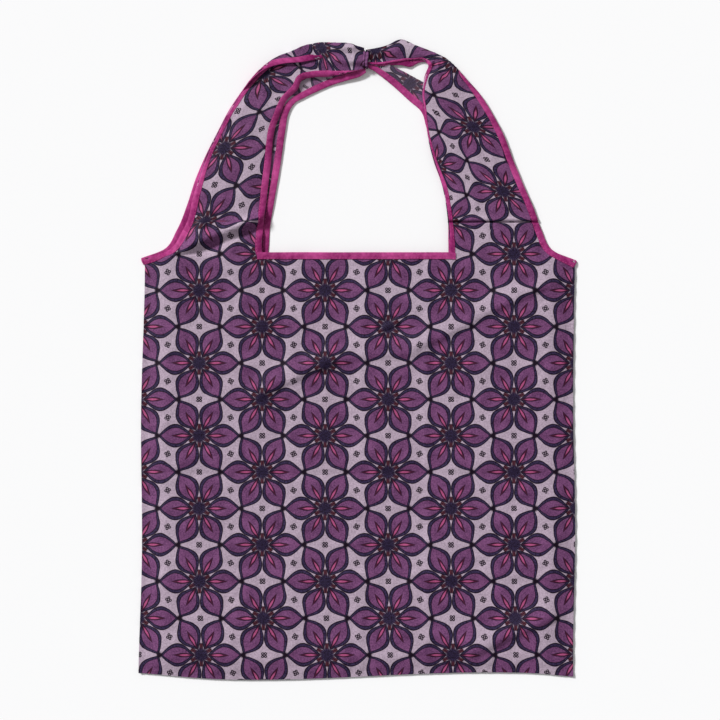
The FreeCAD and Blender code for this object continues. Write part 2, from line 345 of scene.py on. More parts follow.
def strap_grid(name):
    """Points and print coordinates of one strap from the mouth to the crown, and the row of its cut.

    Each row runs from the inner edge of the cloth to the outer one.  Cloth turned over at an edge goes
    back beneath the part that shows, or on top of it on the back left strap.
    """
    layer, side = name.split("_")
    sign = SIDES[side]
    curve, along, cut = spline(STRAPS[name])
    inner, outer = curve[:, None, 0:2], curve[:, None, 2:4]
    turned_in = np.maximum(curve[:, None, 4], 0.0)
    turned_out = np.maximum(curve[:, None, 5], 0.0)
    across = outer - inner
    width = np.linalg.norm(across, axis=-1)
    share = np.linspace(0.0, 1.0, STRAP_COLUMNS)[None, :]
    cloth = share * (width + turned_in + turned_out)
    place = cloth - turned_in

    bend = 1.4 if name == "back_left" else 0.7
    rest = width - place
    near = np.where(turned_in > 0.05, np.sqrt(place**2 + bend**2) - bend, np.abs(place))
    far = np.where(turned_out > 0.05, np.sqrt(rest**2 + bend**2) - bend, np.abs(rest))
    lateral = np.where(place < width / 2, near, width - far)
    under_in = 1.0 - smooth(place / (2 * bend) + 0.5)
    under_out = 1.0 - smooth(rest / (2 * bend) + 0.5)
    plan = inner + across * (lateral / width)[..., None]

    # Height: level with the body at the mouth, lifting to the gathered crown
    up = smooth((along - along[cut]) / 30.0)[:, None]
    crown = smooth((along - along[-1] + 55.0) / 55.0)[:, None]
    start = HEIGHTS[layer](sign * np.linspace(abs(STRAPS[name][0][0]), HALF, STRAP_COLUMNS), MOUTH)
    fraction = np.clip(lateral / width, 0.0, 1.0)
    puff = np.sin(math.pi * fraction)
    x, y = plan[..., 0], plan[..., 1]
    if layer == "front":
        slope = 1.3 * smooth((fraction - 0.72) / 0.28) + 0.8 * smooth((0.14 - fraction) / 0.14)
        level = 4.7 + 1.5 * crown + (0.9 - 0.4 * crown) * puff - slope * (1.0 - crown)
        gap = 1.5 + 1.3 * crown
    else:
        late = smooth((along - along[-1] + 105.0) / 50.0)[:, None]
        level = 0.55 + 1.9 * crown + 0.5 * puff + (1.3 * late if side == "right" else 0.8)
        gap = 1.3
    lengthwise = 1.0 * ripples(cloth, along[:, None] * 0.30, 12.0, 5.0 + sign)
    small = 0.6 * ripples(x, y, 9.0, 13.0)
    pleats = crown * 1.1 * np.sin(cloth / 1.9 + 2.0 * ripples(x, y, 14.0, 31.0))
    amount = 1.0 if layer == "front" else 0.3
    height = mix(start, level, up) + amount * up * (lengthwise + small + pleats)
    if name == "back_left":
        flap = under_in * smooth(turned_in / 1.5) + under_out * smooth(turned_out / 1.5)
        height = mix(height, FLAP_LEVEL + 0.3 * small - 4.0 * swallow(x, y), flap)
    else:
        height = height - gap * (under_in + under_out)
    if name == "front_left":
        height += 1.3 * swallow(x, y) * smooth((10.0 - x) / 10.0)
        height = np.minimum(height, FLAP_LEVEL - 1.3 + 3.0 * swallow(x, y))
    if layer == "front":
        height += fold_across(x, y, sign) + knuckle(x, y)
    height = np.maximum(height, 0.2 + 0.5 * (layer == "front"))

    run = (along - along[cut])[:, None]
    flat_x, flat_y = strap_print(name, abs(curve[cut, 0]), turned_in[cut], run, cloth)
    if name == "front_right":
        bunched = np.maximum(width / 2 - place, 0.0)
        bunched = bunched * smooth((run - 8.0) / 25.0) * smooth((128.0 - run) / 20.0)
        flat_x = flat_x - 0.26 * bunched
        flat_y = flat_y + 0.2 * bunched
    uv = np.stack([np.where(run <= 0.0, x, flat_x), np.where(run <= 0.0, y, flat_y)], axis=-1)
    return np.stack([x, y, height], axis=-1), uv, cut


def strap_print(name, inner_edge, turned_in, run, cloth):
    """Print coordinates above a strap's cut, for distances run up the strap and cloth across it."""
    side = name.split("_")[1]
    drift = STRAP_LEAN * run + STRAP_SLIP[side] * smooth(run / 14.0)
    drift = drift + STRAP_DRIFT[name] * smooth((run - 95.0) / 65.0)
    flat_x = SIDES[side] * (inner_edge + drift + cloth - turned_in)
    gathered = STRAP_GATHER[side] * np.maximum(run - 156.0, 0.0)
    flat_y = STRAP_CUT + STRAP_STRETCH[side] * run + gathered
    return flat_x, flat_y + CREASE_TAKES * smooth((flat_y - CREASE + 1.5) / 3.0)


def swallow(x, y):
    """Share by which the front left strap has closed over the turned edge of the back one."""
    line = 281.5 + 0.33 * (x + 62.0)
    end = x + 38.0 + 1.1 * (y - 290.0)
    return np.maximum(smooth(end / 7.0), smooth((line - y) / 2.0) * smooth((x + 66.0) / 6.0))


def fold_across(x, y, sign):
    """The crease at the straps' roots: sharp on the right, a slack fold on the left."""
    if sign > 0:
        rise = 1.2 * bell(y - CREASE - 2.6, 2.2) * smooth((y - CREASE) / 0.8)
        return rise - 2.6 * bell(y - CREASE + 0.2, 0.8)
    line = y - 117.0 - 0.38 * (x + 130.0)
    across = smooth((x + 178.0) / 25.0) * smooth((-84.0 - x) / 12.0)
    return across * (5.2 * bell(line - 5.5, 5.5) - 2.8 * bell(line + 4.5, 4.5))


def knuckle(x, y):
    """Folds that fan out from the place where the right front strap bunches and turns."""
    away_x, away_y = x - 76.0, y - 290.0
    reach = np.hypot(away_x, away_y)
    fan = np.sin(7.0 * np.arctan2(away_y, away_x)) * np.minimum(reach / 8.0, 1.0)
    return 1.2 * fan * bell(reach, 26.0)


STRAP_GRIDS = {name: strap_grid(name) for name in STRAPS}


# ---- meshes

# Points nearer than this, in metres, become one, and cloth edges sharper than this stay crisp
WELD = 2e-5
CRISP = math.radians(60)


def faces_of(rows, columns, first, flip):
    faces = []
    for row in range(rows - 1):
        for column in range(columns - 1):
            a = first + row * columns + column
            quad = (a, a + 1, a + columns + 1, a + columns)
            faces.append(quad[::-1] if flip else quad)
    return faces


def build(name, points, faces, materials, prints=None):
    """A smooth piece from points in metres, with its print coordinates in millimetres."""
    mesh = bpy.data.meshes.new(name)
    mesh.from_pydata(points, [], faces)
    if prints is not None:
        layout = mesh.uv_layers.new(name="print")
        for loop in mesh.loops:
            across, along = prints[loop.vertex_index]
            layout.data[loop.index].uv = (across * MM, along * MM)
    for material in materials:
        mesh.materials.append(material)
    mesh.shade_smooth()
    piece = bpy.data.objects.new(name, mesh)
    bpy.context.collection.objects.link(piece)
    return piece


def recalculate(piece):
    """Turns every face of a closed mesh outward."""
    shape = bmesh.new()
    shape.from_mesh(piece.data)
    bmesh.ops.recalc_face_normals(shape, faces=shape.faces)
    shape.to_mesh(piece.data)
    shape.free()


def join_grids(name, grids, materials):
    """One piece from several grids of points, welded where their edges meet."""
    points, prints, faces = [], [], []
    for grid, uv in grids:
        rows, columns = grid.shape[:2]
        corner = grid[0, 0]
        normal = np.cross(grid[0, 1] - corner, grid[1, 0] - corner)
        faces += faces_of(rows, columns, len(points), normal[2] < 0)
        points += list(grid.reshape(-1, 3) * MM)
        prints += list(uv.reshape(-1, 2))
    keys, number, kept = {}, [], []
    for place, point in enumerate(points):
        key = tuple(np.round(point / WELD).astype(int))
        if key not in keys:
            keys[key] = len(kept)
            kept.append(place)
        number.append(keys[key])
    welded = [tuple(number[corner] for corner in face) for face in faces]
    welded = [face for face in welded if len(set(face)) == len(face)]
    corners = [tuple(points[place]) for place in kept]
    return build(name, corners, welded, materials, [prints[place] for place in kept])


def cloth_piece(name, grids, layer):
    """A piece of printed cloth, with the reverse of the print on the side that faces inward."""
    materials = (PRINT, REVERSE) if layer == "front" else (REVERSE, PRINT)
    piece = join_grids(name, grids, materials)
    solid = piece.modifiers.new("thickness", "SOLIDIFY")
    solid.thickness = CLOTH * MM
    solid.offset = 0.0
    solid.use_rim = True
    solid.material_offset = 1
    solid.material_offset_rim = 1
    split = piece.modifiers.new("crisp_rim", "EDGE_SPLIT")
    split.split_angle = CRISP
    return piece


# ---- shader arithmetic

class Number:
    """A number in a material's node tree, which takes ordinary arithmetic."""

    def __init__(self, tree, source):
        self.tree = tree
        self.source = source

    def node(self, operation, *others):
        node = self.tree.nodes.new("ShaderNodeMath")
        node.operation = operation
        for socket, term in zip(node.inputs, (self, *others)):
            if isinstance(term, Number):
                self.tree.links.new(term.source, socket)
            else:
                socket.default_value = term
        return Number(self.tree, node.outputs[0])

    def __add__(self, other):
        return self.node("ADD", other)

    def __sub__(self, other):
        return self.node("SUBTRACT", other)

    def __mul__(self, other):
        return self.node("MULTIPLY", other)

    def absolute(self):
        return self.node("ABSOLUTE")

    def sine(self):
        return self.node("SINE")

    def root(self):
        return self.node("SQRT")

    def least(self, other):
        return self.node("MINIMUM", other)

    def most(self, other):
        return self.node("MAXIMUM", other)

    def clamp(self):
        return self.node("MINIMUM", 1.0).node("MAXIMUM", 0.0)

    def repeat(self, size):
        """Distance from the nearest whole multiple of size, signed."""
        return self.node("WRAP", size / 2, -size / 2)

    def below(self, limit, soft=0.35):
        """1 where this is under limit, 0 where it is over, with an edge soft wide."""
        return ((self - limit) * (-1.0 / soft) + 0.5).clamp()


def blend_colour(tree, share, below, above):
    node = tree.nodes.new("ShaderNodeMix")
    node.data_type = "RGBA"
    colours = [socket for socket in node.inputs if socket.type == "RGBA"]
    tree.links.new(share.source, node.inputs[0])
    for socket, colour in zip(colours, (below, above)):
        if isinstance(colour, tuple):
            socket.default_value = (*colour, 1.0)
        else:
            tree.links.new(colour, socket)
    return next(socket for socket in node.outputs if socket.type == "RGBA")


def noise_number(tree, vector, scale, detail=2.0):
    node = tree.nodes.new("ShaderNodeTexNoise")
    node.inputs["Scale"].default_value = scale
    node.inputs["Detail"].default_value = detail
    tree.links.new(vector, node.inputs["Vector"])
    return Number(tree, node.outputs["Fac"])


def place_vector(tree, first, second):
    node = tree.nodes.new("ShaderNodeCombineXYZ")
    tree.links.new(first.source, node.inputs[0])
    tree.links.new(second.source, node.inputs[1])
    return node.outputs[0]


def new_material(name, roughness, specular):
    material = bpy.data.materials.new(name)
    material.use_nodes = True
    tree = material.node_tree
    shader = tree.nodes["Principled BSDF"]
    shader.inputs["Roughness"].default_value = roughness
    shader.inputs["Specular IOR Level"].default_value = specular
    return material, tree, shader


def add_bump(tree, shader, height, strength, depth):
    bump = tree.nodes.new("ShaderNodeBump")
    bump.inputs["Strength"].default_value = strength
    bump.inputs["Distance"].default_value = depth * MM
    tree.links.new(height.source, bump.inputs["Height"])
    tree.links.new(bump.outputs[0], shader.inputs["Normal"])


def print_place(tree):
    """The place on the flat cloth, in millimetres, as two numbers, and as a vector in metres."""
    layout = tree.nodes.new("ShaderNodeUVMap")
    layout.uv_map = "print"
    parts = tree.nodes.new("ShaderNodeSeparateXYZ")
    tree.links.new(layout.outputs[0], parts.inputs[0])
    x = Number(tree, parts.outputs["X"]) * (1 / MM)
    y = Number(tree, parts.outputs["Y"]) * (1 / MM)
    return x, y, layout.outputs[0]


def weave_bump(tree, shader, x, y, vector):
    """Plain weave: threads over and under each other, with uneven yarn and a fine crinkle."""
    turn = 2 * math.pi / THREAD_PITCH
    threads = (x * turn).sine() * (y * turn).sine()
    uneven = noise_number(tree, vector, 900.0)
    crinkle = noise_number(tree, vector, 130.0, 3.0)
    add_bump(tree, shader, threads * 0.12 + uneven * 0.35 + crinkle * 2.4, strength=0.6, depth=0.35)


# Distance between threads of the cloth and between ribs of the tape, in millimetres
THREAD_PITCH = 0.55
RIB_PITCH = 0.9

# The flower, in millimetres from its heart
PETAL_START, PETAL_LENGTH, PETAL_HALF_WIDTH = 6.2, 33.4, 11.3
STREAK_START, STREAK_LENGTH = 5.0, 23.0
CORE_START, CORE_LENGTH = 9.5, 12.5
HEART_RADIUS = 6.4

# Colours of the print, linear
LILAC = (0.425, 0.325, 0.415)
LILAC_SHADE = tuple(part * 0.80 for part in LILAC)
PALE = (0.480, 0.375, 0.470)
PURPLE = (0.212, 0.076, 0.195)
PURPLE_DEEP = (0.078, 0.024, 0.078)
NAVY = (0.038, 0.026, 0.078)
INK = (0.007, 0.002, 0.009)
PINK = (0.450, 0.088, 0.225)
WINE = (0.050, 0.006, 0.026)
RUST = (0.110, 0.022, 0.035)


def swelling(along, start, length):
    """0 before start, 1 in the middle of the length after it, and 0 again at its end."""
    return ((along - start).most(0.0).least(length) * (math.pi / length)).sine()


def flower_print(tree, x, y, vector):
    """Six-petal flowers on a triangular lattice, petal tip to petal tip.

    Gives the colour, and the place x, y from one flower's heart with a small waver, for the weave.
    """
    column = FLOWER_PITCH * math.sqrt(3) / 2
    wobble = noise_number(tree, vector, 160.0, 1.0)
    x = x - FLOWER_CENTRE[0] + (wobble - 0.5) * 0.9
    y = y - FLOWER_CENTRE[1] + (wobble - 0.5) * 0.7

    # The nearest flower is in one of two rectangular lattices
    lattices = []
    for shift_x, shift_y in ((0.0, 0.0), (column, FLOWER_PITCH / 2)):
        px = (x + shift_x).repeat(2 * column)
        py = (y + shift_y).repeat(FLOWER_PITCH)
        lattices.append((px, py, px * px + py * py))
    (first_x, first_y, first_reach), (px, py, reach) = lattices
    first = first_reach.node("LESS_THAN", reach)
    px = px + (first_x - px) * first
    py = py + (first_y - py) * first
    radius = (px * px + py * py).root()
    angle = py.node("ARCTAN2", px)
    petal = angle.repeat(math.pi / 3)
    along = radius * petal.node("COSINE")
    aside = (radius * petal.sine()).absolute()
    gap_angle = (petal.absolute() * -1.0) + math.pi / 6
    gap_along = radius * gap_angle.node("COSINE")
    gap_aside = (radius * gap_angle.sine()).absolute()

    # Petal outline: a pointed oval, with a black, a navy and a black border
    edge = swelling(along, PETAL_START, PETAL_LENGTH) * PETAL_HALF_WIDTH
    grain = noise_number(tree, vector, 650.0, 3.0)
    cloud = noise_number(tree, vector, 70.0, 2.0)
    veins = noise_number(tree, place_vector(tree, along * 0.00025 + angle, aside * 0.0011), 1000.0, 3.0)
    ground = blend_colour(tree, ((grain - 0.5) * 3.4 + 0.5).clamp(), LILAC_SHADE, PALE)
    petal_share = (veins - 0.5) * 3.6 + (grain - 0.5) * 2.4 + (cloud - 0.5) * 1.5 + 0.50
    petal_colour = blend_colour(tree, petal_share.clamp(), PURPLE_DEEP, PURPLE)
    navy = blend_colour(tree, ((grain - 0.5) * 3.0 + 0.6).clamp(), INK, NAVY)
    colour = blend_colour(tree, aside.below(edge + 0.2), ground, INK)
    colour = blend_colour(tree, aside.below(edge - 0.85), colour, navy)
    colour = blend_colour(tree, aside.below(edge * 0.94 - 2.35), colour, INK)
    colour = blend_colour(tree, aside.below(edge * 0.93 - 3.0), colour, petal_colour)

    # Streak from the flower's heart: black, then wine, then pink
    streak = swelling(along, STREAK_START, STREAK_LENGTH)
    core = swelling(along, CORE_START, CORE_LENGTH)
    colour = blend_colour(tree, aside.below(streak * 2.35 - 0.25, 0.5), colour, INK)
    colour = blend_colour(tree, aside.below(streak * 1.9 - 0.45, 0.5), colour, WINE)
    bright = aside.below(core * 1.15 - 0.2, 0.6) * (grain * 0.9 + 0.4).clamp()
    colour = blend_colour(tree, bright, colour, PINK)

    # Heart: dark rays over the petals' roots, rust strokes between them, a navy disc
    rays = ((angle * 24.0).sine() * 0.45 + 0.55) * radius.below(10.5, 5.0) * 0.75
    colour = blend_colour(tree, rays, colour, INK)
    stroke = gap_aside.below(1.7) * gap_along.below(11.4, 1.0)
    colour = blend_colour(tree, stroke, colour, INK)
    stroke = (gap_aside - 0.8).absolute().below(0.36) * gap_along.below(10.8, 0.8)
    colour = blend_colour(tree, stroke, colour, RUST)
    colour = blend_colour(tree, radius.below(HEART_RADIUS, 2.6), colour, navy)
    spokes = ((angle * 18.0).sine() + radius * 0.12).below(0.4, 0.8)
    spokes = spokes * radius.below(HEART_RADIUS, 2.0)
    colour = blend_colour(tree, spokes * 0.8, colour, INK)

    # Where three tips meet, and the four small loops between the flowers
    corner = FLOWER_PITCH / math.sqrt(3)
    junction = ((along - corner) * (along - corner) + aside * aside * 1.6).root()
    colour = blend_colour(tree, junction.below(3.2, 2.0), colour, INK)
    loop_x = (gap_along - FLOWER_PITCH / 2).absolute() - 1.3
    loop_y = gap_aside - 1.3
    loop = ((loop_x * loop_x + loop_y * loop_y).root() - 0.95).absolute()
    return blend_colour(tree, loop.below(0.5), colour, INK), x, y


def print_material(name, fade):
    """The printed cloth.  The reverse shows the same print through the weave, paler by fade."""
    material, tree, shader = new_material(name, roughness=0.6, specular=0.12)
    x, y, vector = print_place(tree)
    colour, x, y = flower_print(tree, x, y, vector)
    if fade:
        level = noise_number(tree, vector, 700.0)
        colour = blend_colour(tree, level * 0.12 + fade, colour, LILAC)
    tree.links.new(colour, shader.inputs["Base Color"])
    weave_bump(tree, shader, x, y, vector)
    return material


def tape_material(name, light, dark):
    """Ribbed binding tape between two tones: small uneven patches of its own colour, and broad patches of
    painted shade, standing in for the shade on a tape that tilts this way and that.
    """
    material, tree, shader = new_material(name, roughness=0.5, specular=0.14)
    x, y, vector = print_place(tree)
    ribs = ((x + y * 0.7) * (2 * math.pi / RIB_PITCH)).sine()
    uneven = noise_number(tree, vector, 220.0, 3.0)
    # The broad slow patches are painted shade, darkening the tape as if it tilted away from the light; the
    # small uneven ones are its own colour
    slow = noise_number(tree, vector, 28.0, 1.0)
    share = (uneven - 0.5) * 1.6 + (slow - 0.5) * 2.6 + 0.55 + ribs * 0.06
    colour = blend_colour(tree, share.clamp(), dark, light)
    tree.links.new(colour, shader.inputs["Base Color"])
    add_bump(tree, shader, ribs * 0.35 + uneven * 1.6, strength=0.5, depth=0.25)
    return material


def plain_material(name, light, dark, roughness, scale, specular=0.4):
    """Uneven colour between two tones, in spots that are smaller the larger the scale."""
    material, tree, shader = new_material(name, roughness, specular)
    place = tree.nodes.new("ShaderNodeTexCoord").outputs["Object"]
    uneven = noise_number(tree, place, scale, 4.0)
    tree.links.new(blend_colour(tree, uneven, dark, light), shader.inputs["Base Color"])
    add_bump(tree, shader, uneven, strength=0.3, depth=0.1)
    return material


PRINT = print_material("printed_cloth", fade=0.0)
REVERSE = print_material("printed_cloth_reverse", fade=0.03)
# The dark tone is partly the tape's own colour and partly painted shade
BINDING = tape_material("binding_tape", light=(0.50, 0.060, 0.255), dark=(0.20, 0.005, 0.090))
THREAD = plain_material("thread", (0.60, 0.10, 0.30), (0.36, 0.03, 0.15), 0.55, 1800.0)
SNAP = plain_material("press_stud", (0.20, 0.02, 0.10), (0.15, 0.015, 0.075), 0.28, 900.0, 0.5)


# ---- tapes and seams

# Sections of a tape and a seam: ways in from the edge, and heights off the middle of the cloth
TAPE_SECTION = [
    (-0.45, 0.0), (-0.30, 0.36), (0.15, 0.52), (2.6, 0.66), (4.6, 0.5), (5.2, 0.34),
    (5.8, 0.46), (6.2, 0.36), (6.3, 0.0), (6.2, -0.36), (5.8, -0.46), (5.2, -0.34),
    (4.6, -0.5), (2.6, -0.66), (0.15, -0.52), (-0.30, -0.36),
]
SEAM_SECTION = [
    (-0.1, 0.0), (0.1, 0.5), (1.0, 0.62), (3.0, 0.5), (3.6, 0.0),
    (3.0, -0.5), (1.0, -0.62), (0.1, -0.5),
]
TAPE_CRISP = math.radians(65.0)
FLOOR_CLEAR = 0.03

# A stitch: its length and pitch, its way in from the edge, its height off the cloth, and its thread
STITCH = 2.3
STITCH_PITCH = 3.1
STITCH_INSET = 5.2
STITCH_LIFT = 0.42
STITCH_RADIUS = 0.24
STITCH_SIDES = 5

# How far the seam allowances keep from the bottom corners, and the columns of the patch they follow
SEAM_CLEAR = 9.0
SEAM_COLUMNS = (0.0, 2.0, 4.0)


def follow(patch, section):
    """Rings of points that lie along the edge of a patch of cloth, however the cloth is folded.

    The rows of the patch run inward from the edge.  The section is a list of ways in from the edge,
    along the cloth, and heights off its face.
    """
    steps = np.linalg.norm(np.diff(patch, axis=1), axis=-1)
    inset = np.concatenate([np.zeros((len(patch), 1)), np.cumsum(steps, axis=1)], axis=1)
    normal = unit(np.cross(np.gradient(patch, axis=0), np.gradient(patch, axis=1)))
    normal *= np.sign(np.median(normal[:, 0, 2]))
    outward = unit(patch[:, 0] - patch[:, 1])
    inward, height = np.array(section).T
    rings = np.empty((len(patch), len(section), 3))
    for row, places in enumerate(inset):
        for axis in range(3):
            centre = np.interp(inward, places, patch[row, :, axis])
            off = np.interp(inward, places, normal[row, :, axis])
            rings[row, :, axis] = centre + off * height + outward[row, axis] * np.maximum(-inward, 0.0)
    return rings


def tube_faces(rows, ring):
    """Faces of a closed tube, given as rings of points one after another, with its two end caps."""
    faces = []
    for row in range(rows - 1):
        for place in range(ring):
            following = (place + 1) % ring
            a, b = row * ring + place, row * ring + following
            faces.append((a, b, b + ring, a + ring))
    faces.append(tuple(range(ring))[::-1])
    faces.append(tuple((rows - 1) * ring + place for place in range(ring)))
    return faces


def add_stitches(patch, points, faces, prints):
    """A row of stitches on each face of a tape, each a short thread that dips in at its ends."""
    lines = follow(patch, [(STITCH_INSET, 0.0), (STITCH_INSET, 1.0), (STITCH_INSET - 1.0, 0.0)])
    middle, upward, inward = lines[:, 0], lines[:, 1] - lines[:, 0], unit(lines[:, 0] - lines[:, 2])
    lengths = lengths_of(middle)
    count = int(lengths[-1] / STITCH_PITCH)
    shape = ((0.0, 0.25, 0.4), (0.2, 0.0, 1.0), (0.8, 0.0, 1.0), (1.0, 0.25, 0.4))
    for number in range(count):
        start = (number + 0.5) * lengths[-1] / count - STITCH / 2
        for face in (1.0, -1.0):
            first = len(points)
            for share, sink, thick in shape:
                at = start + share * STITCH
                centre, up, into = (
                    np.array([np.interp(at, lengths, rows[:, axis]) for axis in range(3)])
                    for rows in (middle, upward, inward)
                )
                centre = centre + up * face * (STITCH_LIFT - sink)
                for turn in range(STITCH_SIDES):
                    angle = turn * 2 * math.pi / STITCH_SIDES
                    offset = into * math.cos(angle) + up * math.sin(angle)
                    points.append(centre + offset * STITCH_RADIUS * thick)
                    prints.append((at, turn))
            thread = tube_faces(len(shape), STITCH_SIDES)
            faces += [tuple(first + corner for corner in face_corners) for face_corners in thread]


def swept_piece(name, patch, section, materials, stitched):
    """A tape or a seam that follows the edge of a patch of cloth, with stitches where it has them."""
    rings = follow(patch, section)
    rows, ring = rings.shape[:2]
    lengths = lengths_of(patch[:, 0])
    points = list(rings.reshape(-1, 3))
    prints = [(lengths[row], section[place][0]) for row in range(rows) for place in range(ring)]
    faces = tube_faces(rows, ring)
    body_faces = len(faces)
    if stitched:
        add_stitches(patch, points, faces, prints)
    corners = [(x * MM, y * MM, max(z, FLOOR_CLEAR) * MM) for x, y, z in points]
    piece = build(name, corners, faces, materials, prints)
    for polygon in piece.data.polygons:
        polygon.material_index = 1 if polygon.index >= body_faces else 0
    recalculate(piece)
    piece.data.set_sharp_from_angle(angle=TAPE_CRISP)
    return piece


def tape(name, patch, node):
    piece = swept_piece(name, patch, TAPE_SECTION, (BINDING, THREAD), stitched=True)
    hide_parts(node)
    return piece


# ---- how pieces move

# How far from the middle the lip lifts, and how far below a fold line the cloth bends
LIP_REACH = 175.0
FOLD_REACH = 12.0


def lift_with_mouth(piece):
    """Bakes a piece in place and works out each of its points' share of the lip's rise: all of it
    mid-mouth, none at the side seams or up the straps.
    """
    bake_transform(piece)
    places = np.empty(len(piece.data.vertices) * 3)
    piece.data.vertices.foreach_get("co", places)
    x, y = places[0::3] / MM, places[1::3] / MM
    across = np.cos(math.pi / 2 * np.minimum(np.abs(x) / LIP_REACH, 1.0)) ** 2
    roots = 1.0 - smooth((y - MOUTH) / (STRAP_CUT - MOUTH - 1.0))
    share = across * smooth((y - LIP_FOLD) / 45.0) * roots


def move_with_mouth(piece, layer):
    """A front piece goes to lift_with_mouth, and a back piece is attached to the bag, where it lies still.
    """
    if layer == "front":
        lift_with_mouth(piece)
    else:
        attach(piece, "bag")


def swing_with_handle(piece):
    """Works out a span about the crease across the straps' roots, and bakes a piece in place."""
    pivot = HINGES["handle_swing"]
    start = (0.0, pivot[1] - 4 * MM, pivot[2])
    end = (0.0, pivot[1] + 12 * MM, pivot[2])
    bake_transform(piece)


def fold_at(piece, joint):
    """Works out a short stretch below one of the body's fold lines, and bakes a piece in place."""
    pivot = HINGES[joint]
    start = (0.0, pivot[1] + 2 * MM, pivot[2])
    end = (0.0, pivot[1] - FOLD_REACH * MM, pivot[2])
    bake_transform(piece)


def fold_with_body(piece, stretch):
    """Sends a piece of the bottom or the lower stretch of the body to fold_at, with that stretch's fold.
    """
    if stretch == "bottom":
        fold_at(piece, "bottom_fold_hinge")
    else:
        fold_at(piece, "lower_fold_hinge")


# ---- pieces

# The CAD nodes that each stretch of the body's cloth stands for
BODY_NODES = {
    "front_bottom": ["front_panel_bottom"],
    "front_lower": ["front_panel_lower"],
    "front_top": [
        "front_panel_middle", "front_panel_upper", "front_shoulder_left", "front_shoulder_right",
    ],
    "back_bottom": ["back_panel_bottom"],
    "back_lower": ["back_panel_lower"],
    "back_top": ["back_panel_upper", "back_shoulder_left", "back_shoulder_right"],
}

# About the width of both straps' roots together, for the flat area of a top piece
SHOULDER_WIDTH = 170.0


def make_body_cloth():
    """The front and back panels, each in three pieces that meet on a stretch that moves as one."""
    spans = (("bottom", BOTTOM, LOWER_CUT), ("lower", LOWER_CUT, MIDDLE_CUT), ("top", MIDDLE_CUT, MOUTH))
    for layer in ("front", "back"):
        for name, low, high in spans:
            grid, uv = body_grid(layer, low, high)
            grids = [(grid, uv)]
            if name == "top":
                for side in ("left", "right"):
                    points, prints, cut = STRAP_GRIDS[f"{layer}_{side}"]
                    block = slice(0, STRAP_COLUMNS) if side == "left" else slice(-STRAP_COLUMNS, None)
                    edge_row = grid[-1, block]
                    root = points[: cut + 1].copy()
                    root[0] = edge_row[::-1] if side == "left" else edge_row
                    grids.append((root, prints[: cut + 1]))
            piece = cloth_piece(f"{layer}_cloth_{name}", grids, layer)
            place_body_cloth(piece, layer, name, high - low)


def place_body_cloth(piece, layer, name, length):
    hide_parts(*BODY_NODES[f"{layer}_{name}"])
    if name == "top":
        move_with_mouth(piece, layer)
        extra = STRAP_CUT - MOUTH
    else:
        fold_with_body(piece, name)
        extra = 0.0
    flat = (2 * HALF * MM, (length + extra) * MM)
    area = (2 * HALF * length + SHOULDER_WIDTH * extra) * MM * MM


def make_straps():
    """The straps above their cut, each a piece of cloth with a tape along each edge."""
    for name, (points, prints, cut) in STRAP_GRIDS.items():
        layer, side = name.split("_")
        piece = cloth_piece(f"{layer}_strap_cloth_{side}", [(points[cut:], prints[cut:])], layer)
        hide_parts(f"{layer}_strap_{side}")
        swing_with_handle(piece)
        rests = ["floor"] if layer == "back" else [f"back_strap_cloth_{side}"]
        make_strap_tapes(name, points, cut)


def surface_height(places, cloth):
    """Height of a cloth, given as points, at places in plan, from the four points nearest to each."""
    away = np.linalg.norm(places[:, None, :] - cloth[None, :, :2], axis=-1)
    nearest = np.argpartition(away, 4, axis=1)[:, :4]
    share = 1.0 / (np.take_along_axis(away, nearest, axis=1) + 0.05)
    return (cloth[nearest, 2] * share).sum(axis=1) / share.sum(axis=1)


def square_patch(points, layer):
    """The cloth beside a strap's outer edge, in rows that run inward square to that edge."""
    edge = points[:, -1]
    along = unit(np.gradient(edge[:, :2], axis=0))
    inward = np.stack([along[:, 1], -along[:, 0]], axis=-1)
    inward *= np.sign(((points[:, -4, :2] - edge[:, :2]) * inward).sum(axis=1, keepdims=True))
    insets = np.arange(0.0, 9.1, 1.3)
    body = body_grid(layer, MOUTH - 20.0, MOUTH)[0]
    cloth = np.concatenate([body.reshape(-1, 3), points.reshape(-1, 3)])
    patch = np.empty((len(edge), len(insets), 3))
    for column, inset in enumerate(insets):
        patch[:, column, :2] = edge[:, :2] + inward * inset
        patch[:, column, 2] = surface_height(patch[:, column, :2], cloth)
    patch[:, 0] = edge

    # Farther up, where the edge turns under, the rows of the strap itself are square enough
    for row, cloth_row in enumerate(points[:, ::-1][:, :TAPE_COLUMNS]):
        lengths = lengths_of(cloth_row)
        own = np.stack([np.interp(insets, lengths, cloth_row[:, axis]) for axis in range(3)], axis=-1)
        patch[row] = mix(patch[row], own, smooth((edge[row, 1] - 135.0) / 25.0))
    return patch


def make_strap_tapes(name, points, cut):
    """The two tapes of a strap, each in a stretch on the shoulder and a stretch on the handle."""
    layer, side = name.split("_")
    for edge_name in ("inner", "outer"):
        if edge_name == "outer":
            patch = square_patch(points, layer)
            split = cut
        else:
            x = points[0, :TAPE_COLUMNS, 0]
            drop = [body_point(layer, x, np.full_like(x, MOUTH - down)) for down in (TAPE, TAPE / 2)]
            patch = np.concatenate([drop, points[:, :TAPE_COLUMNS]])
            split = cut + len(drop)
        root = tape(
            f"{layer}_shoulder_tape_{side}_{edge_name}", patch[: split + 1],
            f"{layer}_shoulder_binding_{side}_{edge_name}",
        )
        move_with_mouth(root, layer)
        upper = tape(
            f"{layer}_strap_tape_{side}_{edge_name}", patch[split:],
            f"{layer}_strap_{side}_{edge_name}_binding",
        )
        swing_with_handle(upper)


